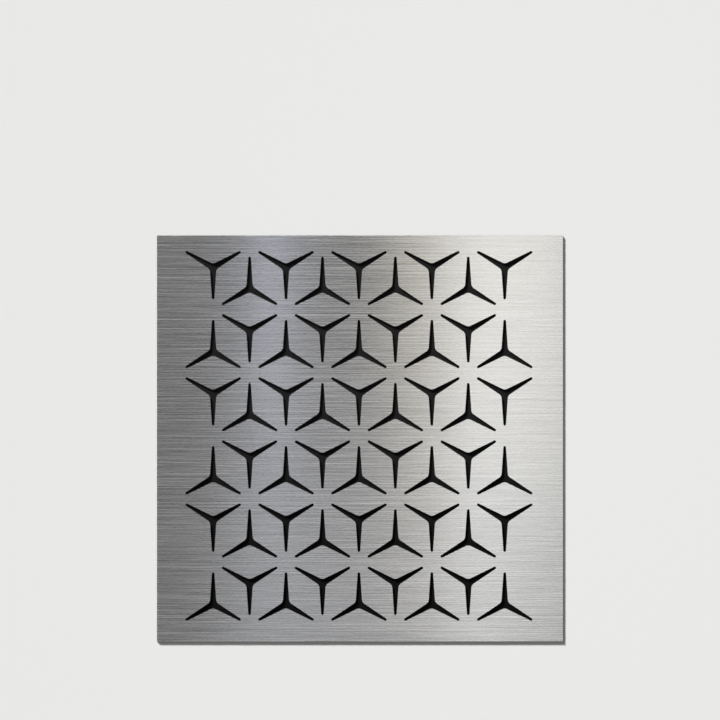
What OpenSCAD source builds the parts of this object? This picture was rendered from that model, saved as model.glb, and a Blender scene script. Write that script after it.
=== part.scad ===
// Decorative metal sheet: a square of brushed stainless steel, laser cut with a honeycomb
// lattice of three-armed openings. It lies flat with its brushed face up.
// X runs to the right across the face, Y up the face, and Z out of it.

/* [Sheet] */
// Width of the sheet, left to right
sheet_w = 1000; // [400:1:2000]
// Length of the sheet, bottom edge to top edge
sheet_l = 1000; // [400:1:2000]
// Thickness of the sheet
sheet_t = 2; // [0.8:0.1:6]

/* [Borders] */
// Plain metal left of the first column of cut-outs
left_border = 70; // [20:1:200]
// Plain metal above the first row of cut-outs
top_border = 38; // [20:1:200]
// Least plain metal right of the last column
least_right_border = 40; // [20:1:200]
// Least plain metal below the last row
least_bottom_border = 40; // [20:1:200]

/* [Lattice] */
// Distance between like cut-outs along a row
pitch = 179.6; // [120:0.1:400]
// Metal left between the tips of neighbouring arms
bridge_w = 22.2; // [8:0.1:50]

/* [Cut-out] */
// Width across the round tip of an arm
tip_w = 6.3; // [2:0.1:12]
// Width across the hub circle, where the straight edges of an arm would start
hub_w = 16.5; // [6:0.1:40]
// Radius of the rounded corners between the arms
corner_r = 13.5; // [1:0.1:25]

/* [Hidden] */

// Smoothness of the arcs
$fn = 48;
// Colour of the brushed face
brushed_steel = [0.66, 0.66, 0.65];
// How far an arc overlaps the straight edges that it meets
overlap = 0.005;
// Angle from one arm of a cut-out to the next, and the angles of its three arms
arm_step = 120;
arm_angles = [90, 90 + arm_step, 90 + 2 * arm_step];

// Radii of the tip and of the hub circle that the edges of an arm touch
tip_r = tip_w / 2;
hub_r = hub_w / 2;
// Side of the lattice's hexagons, which is also their radius
cell_r = pitch / sqrt(3);
// Centre of a cut-out to the centre of a tip. Six tips surround the middle of each hexagon,
// as far from it as they are from each other.
arm_l = cell_r - bridge_w - tip_w;
// Lean of the straight edges of an arm towards its centre line
lean = asin((hub_r - tip_r) / arm_l);
// Centre of a cut-out to the centre of a rounded corner, halfway between two arms
corner_d = (hub_r + corner_r) / sin(arm_step / 2 + lean);

// Steps from column to column and from row to row
column_step = pitch / 2;
row_step = cell_r * 3 / 2;
// How much lower the cut-outs with an arm up sit than their neighbours with an arm down
stagger = cell_r / 2;
// Slope of the two arms that don't run along Y, and their reach along X and along Y
slope = arm_step - 90;
side_reach = arm_l * cos(slope) + tip_r;
slant_reach = arm_l * sin(slope) + tip_r;
// Space that one column or one row of cut-outs takes up
column_w = 2 * side_reach;
row_l = 2 * slant_reach + stagger;
// As many columns and rows as the sheet holds inside its borders
columns = floor((sheet_w - left_border - least_right_border - column_w) / column_step) + 1;
rows = floor((sheet_l - top_border - least_bottom_border - row_l) / row_step) + 1;

// Point at a radius and an angle
function polar(r, a) = [r * cos(a), r * sin(a)];

// Point turned about the origin
function turned(p, a) = [p[0] * cos(a) - p[1] * sin(a), p[0] * sin(a) + p[1] * cos(a)];

// The same point on the other side of the X axis
function across(p) = [p[0], -p[1]];

// Outline of one cut-out, with its first arm along +Y: straight edges that lean in from the
// rounded corners to full round tips
module cutout() {
    edge_side = polar(1, 90 - lean);
    corner = polar(corner_d, arm_step / 2);
    corner_touch = corner - corner_r * edge_side;
    tip_touch = [arm_l, 0] + tip_r * edge_side;
    arm_edges = [across(corner_touch), across(tip_touch), tip_touch, corner_touch, corner];
    difference() {
        union() {
            polygon([for (a = arm_angles, p = arm_edges) turned(p, a)]);
            for (a = arm_angles)
                translate(polar(arm_l, a))
                    circle(r = tip_r + overlap);
        }
        for (a = arm_angles)
            translate(polar(corner_d, a + arm_step / 2))
                circle(r = corner_r + overlap);
    }
}

// Cut-outs set out from the top left corner, every second one turned over and staggered
module lattice() {
    first_x = left_border + side_reach - sheet_w / 2;
    first_y = sheet_l / 2 - top_border - slant_reach;
    for (row = [0 : 1 : rows - 1], column = [0 : 1 : columns - 1]) {
        arm_up = (row + column) % 2;
        x = first_x + column * column_step;
        y = first_y - row * row_step - arm_up * stagger;
        translate([x, y])
            rotate(arm_up ? 0 : 180)
                cutout();
    }
}

module sheet() {
    color(brushed_steel)
        linear_extrude(sheet_t)
            difference() {
                square([sheet_w, sheet_l], center = true);
                lattice();
            }
}

sheet();
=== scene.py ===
"""Decorative metal sheet: brushed face, mill back and laser-cut edges, shown lying in a studio."""

import logging
import math
from dataclasses import dataclass
from enum import Enum, IntEnum

import bmesh
import bpy
from mathutils import Euler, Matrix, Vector
from mathutils.geometry import delaunay_2d_cdt


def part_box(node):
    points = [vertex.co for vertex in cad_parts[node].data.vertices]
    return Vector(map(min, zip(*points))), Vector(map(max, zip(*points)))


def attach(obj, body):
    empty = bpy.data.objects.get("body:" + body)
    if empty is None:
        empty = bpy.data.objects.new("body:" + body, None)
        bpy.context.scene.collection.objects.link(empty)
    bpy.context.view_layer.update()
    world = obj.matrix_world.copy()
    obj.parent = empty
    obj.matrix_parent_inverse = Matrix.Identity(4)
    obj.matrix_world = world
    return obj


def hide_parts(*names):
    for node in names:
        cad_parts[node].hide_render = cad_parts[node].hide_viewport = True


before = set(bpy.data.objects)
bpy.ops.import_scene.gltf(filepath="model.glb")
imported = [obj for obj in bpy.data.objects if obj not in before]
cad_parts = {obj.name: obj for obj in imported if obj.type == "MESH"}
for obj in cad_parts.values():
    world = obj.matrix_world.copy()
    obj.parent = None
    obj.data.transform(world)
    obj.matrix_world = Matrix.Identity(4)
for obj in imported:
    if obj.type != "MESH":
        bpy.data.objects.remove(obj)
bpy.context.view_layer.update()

LOG = logging.getLogger("metal_sheet")
MM = 0.001

# Name of the map whose first axis runs across the brush lines
GRAIN_MAP = "grain"
# Turn of the noise, so that its cells don't line up with the sheet's face
OFF_LATTICE = (0.5, 0.4, 0.35)
# Middle of a noise value, and the distance from it that most of the noise stays within
NOISE_MIDDLE = 0.5
NOISE_REACH = 0.2
# Slope of the two arms of a cut-out that don't run along Y
ARM_SLOPE = math.radians(30)
# Settings of the flat faces' triangulation: keep the inside without the holes, and weld no points
INSIDE_WITH_HOLES = 2
WELD = 1e-9

Colour = tuple[float, float, float]
Outline = list[Vector]
Ring = list[bmesh.types.BMVert]
Socket = bpy.types.NodeSocket


class Surface(IntEnum):
    """Material index of each kind of face on the sheet."""

    FRONT = 0
    BACK = 1
    CUT = 2


class ArmWay(Enum):
    """Which way the upright arm of a cut-out points: the turn of its outline, in radians."""

    UP = math.radians(90)
    DOWN = math.radians(270)


def polar(radius: float, angle: float) -> Vector:
    """Return the point at a radius and an angle in radians."""
    return Vector((radius * math.cos(angle), radius * math.sin(angle)))


def arc(centre: Vector, radius: float, start: float, end: float, steps: int) -> Outline:
    """Points along an arc, both ends included.

    Args:
        centre: Centre of the arc.
        radius: Radius of the arc, in metres.
        start: Angle of the first point, in radians.
        end: Angle of the last point, in radians.
        steps: Number of straight pieces that the arc is drawn with.

    Returns:
        The points in order.
    """
    return [centre + polar(radius, start + (end - start) * k / steps) for k in range(steps + 1)]


def moved_out(outline: Outline, distance: float) -> Outline:
    """Offset a closed counter-clockwise outline.

    Args:
        outline: Corner points in order.
        distance: How far each edge moves outwards, or inwards if negative, in metres.

    Returns:
        As many points as the outline has, on the offset edges.
    """
    count = len(outline)
    sides = []
    for k, point in enumerate(outline):
        along = (outline[(k + 1) % count] - point).normalized()
        sides.append(Vector((along.y, -along.x)))
    moved = []
    for k, point in enumerate(outline):
        mitre = (sides[k - 1] + sides[k]).normalized()
        moved.append(point + mitre * (distance / mitre.dot(sides[k])))
    return moved


class NodeTree:
    """Short calls for building one shader's nodes."""

    def __init__(self, tree: bpy.types.NodeTree) -> None:
        """Start from an empty tree."""
        self.tree = tree
        tree.nodes.clear()

    def put(self, socket: Socket, value: object) -> None:
        """Give an input a value of its own, or link another node's output to it.

        Args:
            socket: The input.
            value: A number, vector or colour, or an output.
        """
        if isinstance(value, Socket):
            self.tree.links.new(value, socket)
        else:
            socket.default_value = value

    def add(self, kind: str, settings: dict[str, str] | None = None, **inputs: object) -> bpy.types.Node:
        """Add a node.

        Args:
            kind: The node's type, without its ShaderNode prefix.
            settings: Properties of the node itself.
            **inputs: Values or outputs, by the name of the input with _ for a space.

        Returns:
            The new node.
        """
        node = self.tree.nodes.new(f"ShaderNode{kind}")
        for name, value in (settings or {}).items():
            setattr(node, name, value)
        for name, value in inputs.items():
            self.put(node.inputs[name.replace("_", " ")], value)
        return node

    def math(self, operation: str, *values: float | Socket) -> Socket:
        """Work out a number.

        Args:
            operation: What the Math node does.
            *values: Its numbers or outputs, in order.

        Returns:
            The result.
        """
        node = self.add("Math", {"operation": operation})
        for socket, value in zip(node.inputs, values):
            self.put(socket, value)
        return node.outputs[0]

    def spread(self, noise: Socket, low: float, high: float) -> Socket:
        """Map noise onto a range.

        Args:
            noise: Noise around its middle.
            low: The range's low end.
            high: The range's high end.

        Returns:
            The mapped value, held inside the range.
        """
        start, end = NOISE_MIDDLE - NOISE_REACH, NOISE_MIDDLE + NOISE_REACH
        node = self.add("MapRange", Value=noise, From_Min=start, From_Max=end, To_Min=low, To_Max=high)
        return node.outputs[0]

    def ease(self, value: Socket, start: float, end: float) -> Socket:
        """Return a smooth step from 0 to 1 between two values."""
        smooth = {"interpolation_type": "SMOOTHSTEP"}
        return self.add("MapRange", smooth, Value=value, From_Min=start, From_Max=end).outputs[0]

    def blend(self, factor: Socket, first: Colour | Socket, last: Colour | Socket) -> Socket:
        """Mix two colours.

        Args:
            factor: Share of the last colour, from 0 to 1.
            first: The colour at 0.
            last: The colour at 1.

        Returns:
            The mixed colour.
        """
        ends = [end if isinstance(end, Socket) else (*end, 1.0) for end in (first, last)]
        return self.add("Mix", {"data_type": "RGBA"}, Factor=factor, A=ends[0], B=ends[1]).outputs["Result"]

    def grain(self, size: Vector, detail: float, place: float = 0.0, aside: float = 0.0) -> Socket:
        """Noise with a feature size of its own along each axis of the object.

        Args:
            size: Feature size along X, Y and Z, in metres.
            detail: Octaves of finer noise on top.
            place: Shift in the noise, in features, so that two layers differ.
            aside: How far along Y the noise is read from, in metres.

        Returns:
            The noise, around its middle.
        """
        shift = Euler(OFF_LATTICE).to_matrix() @ Vector((0.0, aside / size.y, 0.0))
        stretch = self.add(
            "Mapping",
            Vector=self.add("TexCoord").outputs["Object"],
            Scale=tuple(1 / side for side in size),
            Location=shift + Vector((place, place, place)),
            Rotation=OFF_LATTICE,
        )
        return self.add("TexNoise", Vector=stretch.outputs["Vector"], Scale=1.0, Detail=detail).outputs[0]

    def finish(self, shader: bpy.types.Node, output: str = "OutputMaterial") -> None:
        """Send a shader to the tree's output."""
        self.put(self.add(output).inputs["Surface"], shader.outputs[0])


def new_material(name: str) -> tuple[bpy.types.Material, NodeTree]:
    """Make a material for a finish.

    Args:
        name: Name of the material.

    Returns:
        The material and its empty tree.
    """
    material = bpy.data.materials.new(name)
    material.use_nodes = True
    return material, NodeTree(material.node_tree)


@dataclass(frozen=True)
class Streaks:
    """One layer of brush lines."""

    length: float
    thickness: float
    detail: float
    place: float
    weight: float = 1.0

    def value(self, tree: NodeTree, aside: float = 0.0) -> Socket:
        """Return the layer's noise, drawn out along X and read from a little aside."""
        return tree.grain(Vector((self.length, self.thickness, 1.0)), self.detail, self.place, aside)


@dataclass(frozen=True)
class BrushedFinish:
    """The front face: long brush lines along X, which spread each reflection along Y."""

    darkest: Colour = (0.0, 0.0, 0.0)
    lightest: Colour = (1.0, 1.0, 1.0)
    shine: float = 0.588
    contrast: float = 48.0
    roughness: float = 0.29
    roughness_contrast: float = 12.5
    glint: float = 3.0
    furrow: float = 0.38
    furrow_gap: float = 2.4 * MM
    anisotropy: float = 0.95
    relief: float = 0.015 * MM
    layers: tuple[Streaks, ...] = (
        Streaks(length=0.420, thickness=0.95 * MM, detail=2.0, place=0.0, weight=0.52),
        Streaks(length=0.105, thickness=0.95 * MM, detail=2.0, place=31.0, weight=0.37),
        Streaks(length=0.008, thickness=0.95 * MM, detail=0.0, place=53.0, weight=0.11),
    )
    hairlines: Streaks = Streaks(length=0.030, thickness=0.35 * MM, detail=2.0, place=67.0)

    def lines(self, tree: NodeTree) -> Socket:
        """Add up the layers of brush lines, each with a furrow beside it.

        Args:
            tree: The material's tree.

        Returns:
            One value around zero, higher on a light line and lower in a furrow.
        """
        total = NOISE_MIDDLE * (self.furrow - 1.0) * sum(layer.weight for layer in self.layers)
        for layer in self.layers:
            beside = layer.value(tree, self.furrow_gap)
            total = tree.math("MULTIPLY_ADD", layer.value(tree), layer.weight, total)
            total = tree.math("MULTIPLY_ADD", beside, -self.furrow * layer.weight, total)
        return total

    def material(self) -> bpy.types.Material:
        """Make the finish's material.

        Returns:
            The finished material.
        """
        material, tree = new_material("brushed_face")
        lines = self.lines(tree)
        swing = tree.math("MULTIPLY", lines, tree.math("MULTIPLY_ADD", lines, self.glint, 1.0))
        hairs = self.hairlines.value(tree)
        shine = tree.math("MULTIPLY", tree.math("POWER", self.contrast, swing), self.shine)
        rough = tree.math("MULTIPLY", tree.math("POWER", self.roughness_contrast, swing), self.roughness)
        bump = tree.add("Bump", Strength=1.0, Distance=self.relief, Height=hairs)
        across = tree.add("Tangent", {"direction_type": "UV_MAP", "uv_map": GRAIN_MAP})
        shader = tree.add(
            "BsdfPrincipled",
            Base_Color=tree.blend(shine, self.darkest, self.lightest),
            Metallic=1.0,
            Roughness=rough,
            Anisotropic=self.anisotropy,
            Tangent=across.outputs[0],
            Normal=bump.outputs[0],
        )
        tree.finish(shader)
        return material


@dataclass(frozen=True)
class MillFinish:
    """The back face as it left the rolling mill: dull, even and faintly cloudy."""

    dark: Colour = (0.46, 0.46, 0.46)
    light: Colour = (0.54, 0.54, 0.535)
    smoothest: float = 0.34
    roughest: float = 0.44
    cloud: float = 0.09
    cloud_detail: float = 3.0
    rolled: Streaks = Streaks(length=0.40, thickness=3.0 * MM, detail=1.0, place=11.0)

    def material(self) -> bpy.types.Material:
        """Make the finish's material.

        Returns:
            The finished material.
        """
        material, tree = new_material("mill_back")
        cloud = tree.grain(Vector((self.cloud, self.cloud, 1.0)), self.cloud_detail)
        both = tree.math("MULTIPLY", tree.math("ADD", cloud, self.rolled.value(tree)), 0.5)
        shader = tree.add(
            "BsdfPrincipled",
            Base_Color=tree.blend(tree.spread(both, 0.0, 1.0), self.dark, self.light),
            Metallic=1.0,
            Roughness=tree.spread(cloud, self.smoothest, self.roughest),
        )
        tree.finish(shader)
        return material


@dataclass(frozen=True)
class LaserCutFinish:
    """The cut walls: fine upright ripples left by the beam."""

    dark: Colour = (0.27, 0.265, 0.26)
    light: Colour = (0.47, 0.465, 0.455)
    smoothest: float = 0.32
    roughest: float = 0.50
    ripple: float = 0.28 * MM
    ripple_height: float = 6.0 * MM
    ripple_detail: float = 1.0
    relief: float = 0.03 * MM

    def material(self) -> bpy.types.Material:
        """Make the finish's material.

        Returns:
            The finished material.
        """
        material, tree = new_material("laser_cut_edge")
        ripples = tree.grain(Vector((self.ripple, self.ripple, self.ripple_height)), self.ripple_detail)
        bump = tree.add("Bump", Strength=1.0, Distance=self.relief, Height=ripples)
        shader = tree.add(
            "BsdfPrincipled",
            Base_Color=tree.blend(tree.spread(ripples, 0.0, 1.0), self.dark, self.light),
            Metallic=1.0,
            Roughness=tree.spread(ripples, self.smoothest, self.roughest),
            Normal=bump.outputs[0],
        )
        tree.finish(shader)
        return material


@dataclass(frozen=True)
class MatteFinish:
    """A plain matte studio surface, which may change along Y from one tone to another."""

    name: str
    colour: Colour
    far_colour: Colour | None = None
    change: tuple[float, float] = (-1.0, 1.0)

    def material(self) -> bpy.types.Material:
        """Make the finish's material.

        Returns:
            The finished material.
        """
        material, tree = new_material(self.name)
        colour = (*self.colour, 1.0)
        if self.far_colour:
            where = tree.add("SeparateXYZ", Vector=tree.add("TexCoord").outputs["Object"])
            colour = tree.blend(tree.ease(where.outputs["Y"], *self.change), self.colour, self.far_colour)
        shader = tree.add("BsdfPrincipled", Base_Color=colour, Roughness=1.0, Specular_IOR_Level=0.0)
        tree.finish(shader)
        return material


@dataclass
class CutOut:
    """One three-armed cut-out: tapered arms with full round tips and rounded corners between them."""

    cell: float
    bridge: float = 22.2 * MM
    tip_width: float = 6.3 * MM
    hub_width: float = 16.5 * MM
    corner_radius: float = 13.5 * MM
    arms: int = 3
    tip_steps: int = 14
    corner_steps: int = 7

    @property
    def tip_radius(self) -> float:
        """Radius of the round tips."""
        return self.tip_width / 2

    @property
    def arm_length(self) -> float:
        """Centre of the cut-out to the centre of a tip."""
        return self.cell - self.bridge - self.tip_width

    @property
    def side_reach(self) -> float:
        """Centre of the cut-out to the end of a slanted arm, along X."""
        return self.arm_length * math.cos(ARM_SLOPE) + self.tip_radius

    @property
    def slant_reach(self) -> float:
        """Centre of the cut-out to the end of a slanted arm, along Y."""
        return self.arm_length * math.sin(ARM_SLOPE) + self.tip_radius

    def outline(self, place: Vector, turn: float) -> Outline:
        """Draw the outline counter-clockwise.

        Args:
            place: Centre of the cut-out.
            turn: Angle of its first arm, in radians.

        Returns:
            The outline's points.
        """
        hub_radius = self.hub_width / 2
        step = math.tau / self.arms
        lean = math.asin((hub_radius - self.tip_radius) / self.arm_length)
        corner_distance = (hub_radius + self.corner_radius) / math.sin(step / 2 + lean)
        side = math.pi / 2 - lean
        points = []
        for k in range(self.arms):
            arm = turn + k * step
            tip = place + polar(self.arm_length, arm)
            points += arc(tip, self.tip_radius, arm - side, arm + side, self.tip_steps)
            corner = place + polar(corner_distance, arm + step / 2)
            first, last = arm + side + math.pi, arm + step - side + math.pi
            points += arc(corner, self.corner_radius, first, last, self.corner_steps)
        return points


@dataclass
class MetalSheet:
    """The sheet: one flat piece with its lattice of cut-outs and a deburred edge all round."""

    low: Vector
    high: Vector
    pitch: float = 179.6 * MM
    left_border: float = 70.0 * MM
    top_border: float = 38.0 * MM
    rows: int = 6
    columns: int = 9
    deburr_width: float = 0.10 * MM
    deburr_depth: float = 0.035 * MM
    sharp_angle: float = math.radians(16)

    def lattice(self) -> list[Outline]:
        """Set out the cut-outs from the top left corner, every second one turned over and staggered.

        Returns:
            The outlines of all the cut-outs.
        """
        cell = self.pitch / math.sqrt(3)
        cut = CutOut(cell)
        first_x = self.low.x + self.left_border + cut.side_reach
        first_y = self.high.y - self.top_border - cut.slant_reach
        outlines = []
        for row in range(self.rows):
            for column in range(self.columns):
                way = ArmWay.UP if (row + column) % 2 else ArmWay.DOWN
                stagger = cell / 2 if way is ArmWay.UP else 0.0
                x = first_x + column * self.pitch / 2
                y = first_y - row * cell * 3 / 2 - stagger
                outlines.append(cut.outline(Vector((x, y)), way.value))
        return outlines

    def rim(self) -> Outline:
        """Return the sheet's own four corners, counter-clockwise."""
        low, high = self.low, self.high
        return [Vector(p) for p in ((low.x, low.y), (high.x, low.y), (high.x, high.y), (low.x, high.y))]

    def build(self) -> bpy.types.Object:
        """Make the sheet's mesh.

        Returns:
            The new object, with a material index on each face and the grain map.
        """
        outlines = [self.rim(), *self.lattice()]
        into_metal = [-self.deburr_width] + [self.deburr_width] * (len(outlines) - 1)
        faces = [moved_out(line, distance) for line, distance in zip(outlines, into_metal)]
        levels = (
            (faces, self.low.z),
            (outlines, self.low.z + self.deburr_depth),
            (outlines, self.high.z - self.deburr_depth),
            (faces, self.high.z),
        )
        mesh = bmesh.new()
        rings = [[[mesh.verts.new((*p, z)) for p in line] for line in lines] for lines, z in levels]
        self.add_walls(mesh, rings)
        self.add_faces(mesh, faces, rings[0], rings[-1])
        self.add_grain_map(mesh)
        data = bpy.data.meshes.new("metal_sheet")
        mesh.to_mesh(data)
        mesh.free()
        data.set_sharp_from_angle(angle=self.sharp_angle)
        sheet = bpy.data.objects.new("metal_sheet", data)
        bpy.context.scene.collection.objects.link(sheet)
        return sheet

    def add_walls(self, mesh: bmesh.types.BMesh, rings: list[list[Ring]]) -> None:
        """Join the rings of vertices into the cut walls and their deburred edges.

        Args:
            mesh: The mesh that the faces go into.
            rings: For each level from the back to the front, the vertices of each outline, the rim first.
        """
        for lower, upper in zip(rings, rings[1:]):
            for number, (below, above) in enumerate(zip(lower, upper)):
                for k in range(len(below)):
                    corners = [below[k - 1], below[k], above[k], above[k - 1]]
                    face = mesh.faces.new(corners if number == 0 else corners[::-1])
                    face.material_index = Surface.CUT
                    face.smooth = True

    def add_faces(
        self, mesh: bmesh.types.BMesh, lines: list[Outline], back: list[Ring], front: list[Ring]
    ) -> None:
        """Fill the two flat faces around the cut-outs.

        Args:
            mesh: The mesh that the faces go into.
            lines: The outlines of the flat faces, the rim first.
            back: The vertices of each outline on the back.
            front: The vertices of each outline on the front.
        """
        points = [p for line in lines for p in line]
        loops = []
        for line in lines:
            first = sum(map(len, loops))
            loop = list(range(first, first + len(line)))
            loops.append(loop[::-1] if loops else loop)
        triangles = delaunay_2d_cdt(points, [], loops, INSIDE_WITH_HOLES, WELD)[2]
        back_verts = [v for ring in back for v in ring]
        front_verts = [v for ring in front for v in ring]
        for corners in triangles:
            mesh.faces.new([front_verts[c] for c in corners]).material_index = Surface.FRONT
            mesh.faces.new([back_verts[c] for c in reversed(corners)]).material_index = Surface.BACK

    def add_grain_map(self, mesh: bmesh.types.BMesh) -> None:
        """Lay a map over the mesh whose first axis runs across the brush lines.

        Args:
            mesh: The finished mesh.
        """
        layer = mesh.loops.layers.uv.new(GRAIN_MAP)
        for face in mesh.faces:
            for loop in face.loops:
                loop[layer].uv = (loop.vert.co.y, loop.vert.co.x)

    def dress(self, sheet: bpy.types.Object) -> None:
        """Give each kind of face its finish, and put the sheet in the place of its CAD node.

        Args:
            sheet: The sheet's object.
        """
        finishes = {
            Surface.FRONT: BrushedFinish(),
            Surface.BACK: MillFinish(),
            Surface.CUT: LaserCutFinish(),
        }
        for surface in Surface:
            sheet.data.materials.append(finishes[surface].material())
        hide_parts("sheet")
        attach(sheet, "root")


@dataclass(frozen=True)
class SoftLight:
    """One rectangular studio light, which faces straight down."""

    name: str
    place: Vector
    size: tuple[float, float]
    radiance: Colour

    def hang(self) -> bpy.types.Object:
        """Hang the light, hidden from the camera.

        Returns:
            The new lamp.
        """
        lamp = bpy.data.lights.new(self.name, "AREA")
        lamp.shape = "RECTANGLE"
        lamp.size, lamp.size_y = self.size
        # The energy at which the lamp's colour is its radiance
        lamp.energy = math.pi * lamp.size * lamp.size_y
        lamp.color = self.radiance
        light = bpy.data.objects.new(self.name, lamp)
        light.location = self.place
        light.visible_camera = False
        bpy.context.scene.collection.objects.link(light)
        return light


@dataclass(frozen=True)
class LowLight:
    """A far, soft light from one side, which draws short shadows on the matte surfaces alone."""

    name: str
    elevation: float
    azimuth: float
    width: float
    strength: float

    def hang(self) -> bpy.types.Object:
        """Hang the light, left out of reflections.

        Returns:
            The new lamp.
        """
        lamp = bpy.data.lights.new(self.name, "SUN")
        lamp.angle = math.radians(self.width)
        lamp.energy = self.strength
        light = bpy.data.objects.new(self.name, lamp)
        light.rotation_euler = (math.radians(90 - self.elevation), 0.0, math.radians(self.azimuth + 90))
        light.visible_glossy = False
        bpy.context.scene.collection.objects.link(light)
        return light


@dataclass(frozen=True)
class Sky:
    """Light from all round: an even backdrop at the floor's end, bright sides above and a dim zenith."""

    backdrop: Colour = (0.789, 0.790, 0.780)
    sides: Colour = (0.90, 0.90, 0.90)
    zenith: Colour = (0.210, 0.209, 0.207)
    sides_from: tuple[float, float] = (0.05, 0.30)
    zenith_from: tuple[float, float] = (0.50, 0.80)
    bright_sides: float = 4.0
    unevenness: float = 0.60

    def hang(self) -> bpy.types.World:
        """Make the sky and put the scene under it.

        Returns:
            The new world.
        """
        world = bpy.data.worlds.new("studio")
        world.use_nodes = True
        tree = NodeTree(world.node_tree)
        where = tree.add("SeparateXYZ", Vector=tree.add("TexCoord").outputs["Generated"]).outputs
        sides = tree.ease(where["Z"], *self.sides_from)
        zenith = tree.ease(where["Z"], *self.zenith_from)
        turn = tree.math("MULTIPLY", tree.math("ARCTAN2", where["Y"], where["X"]), self.bright_sides)
        share = tree.math("MULTIPLY", tree.math("SUBTRACT", sides, zenith), self.unevenness)
        strength = tree.math("MULTIPLY_ADD", tree.math("SINE", turn), share, 1.0)
        colour = tree.blend(zenith, tree.blend(sides, self.backdrop, self.sides), self.zenith)
        tree.finish(tree.add("Background", Color=colour, Strength=strength), "OutputWorld")
        bpy.context.scene.world = world
        return world


@dataclass
class Studio:
    """The floor, the dark card that the cut-outs show, the lights and the camera."""

    floor_side: float = 30.0
    floor_depth: float = 0.4 * MM
    card_side: float = 0.97
    card_depth: float = 0.2 * MM
    floor_finish: MatteFinish = MatteFinish("pale_floor", (0.259, 0.259, 0.2565))
    card_finish: MatteFinish = MatteFinish("dark_card", (0.0021,) * 3, (0.0048,) * 3, (-0.33, 0.12))
    sky: Sky = Sky()
    lens: float = 85.0
    image_side: float = 720.0
    sheet_pixels: float = 405.9
    sheet_middle: tuple[float, float] = (359.95, 438.5)
    lights: tuple[SoftLight | LowLight, ...] = (
        SoftLight("key", Vector((0.55, 0.91, 2.95)), (0.83, 2.47), (0.594, 0.522, 0.384)),
        SoftLight("key_core", Vector((0.68, 0.55, 2.92)), (0.64, 2.84), (0.945, 0.985, 1.035)),
        SoftLight("strip", Vector((-0.33, 1.08, 2.06)), (0.06, 2.30), (1.450, 1.510, 1.900)),
        SoftLight("fill", Vector((0.02, -1.25, 3.04)), (1.24, 2.13), (0.395, 0.402, 0.428)),
        LowLight("low", elevation=11.0, azimuth=125.0, width=5.0, strength=42.0),
    )

    def plane(self, name: str, side: float, depth: float, finish: MatteFinish) -> bpy.types.Object:
        """Lay a square of studio surface below the sheet.

        Args:
            name: Name of the new object.
            side: Its side, in metres.
            depth: How far below the sheet's back it lies, in metres.
            finish: Its finish.

        Returns:
            The new object.
        """
        half = side / 2
        square = ((-half, -half), (half, -half), (half, half), (-half, half))
        corners = [(x, y, -depth) for x, y in square]
        data = bpy.data.meshes.new(name)
        data.from_pydata(corners, [], [(0, 1, 2, 3)])
        data.materials.append(finish.material())
        plane = bpy.data.objects.new(name, data)
        bpy.context.scene.collection.objects.link(plane)
        return plane

    def build(self) -> list[bpy.types.Object]:
        """Hang the lights and the sky, and lay the floor and the card.

        Returns:
            The floor and the card.
        """
        for light in self.lights:
            light.hang()
        self.sky.hang()
        bpy.context.scene.view_settings.view_transform = "Standard"
        return [
            self.plane("floor", self.floor_side, self.floor_depth, self.floor_finish),
            self.plane("dark_card", self.card_side, self.card_depth, self.card_finish),
        ]

    def aim(self, sheet_side: float, face_z: float) -> bpy.types.Object:
        """Set the camera straight above, with the sheet where the picture has it.

        Args:
            sheet_side: Side of the sheet, in metres.
            face_z: Height of the sheet's front face, in metres.

        Returns:
            The new camera.
        """
        pixel = sheet_side / self.sheet_pixels
        data = bpy.data.cameras.new("camera")
        data.lens = self.lens
        distance = self.image_side * pixel * data.lens / data.sensor_width
        camera = bpy.data.objects.new("camera", data)
        middle = self.image_side / 2
        camera.location = (
            (middle - self.sheet_middle[0]) * pixel,
            (self.sheet_middle[1] - middle) * pixel,
            face_z + distance,
        )
        bpy.context.scene.collection.objects.link(camera)
        bpy.context.scene.camera = camera
        return camera


def main() -> None:
    """Build and dress the sheet, then the studio around it."""
    logging.basicConfig(level=logging.INFO, format="%(message)s")
    low, high = (Vector(corner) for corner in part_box("sheet"))
    metal_sheet = MetalSheet(low, high)
    sheet = metal_sheet.build()
    metal_sheet.dress(sheet)
    LOG.info("%s: %d faces", sheet.name, len(sheet.data.polygons))
    studio = Studio()
    for piece in studio.build():
        LOG.info("%s: stage", piece.name)
    camera = studio.aim(high.x - low.x, high.z)
    LOG.info("%s: %.3f m above the floor", camera.name, camera.location.z)


if __name__ == "__main__":
    main()
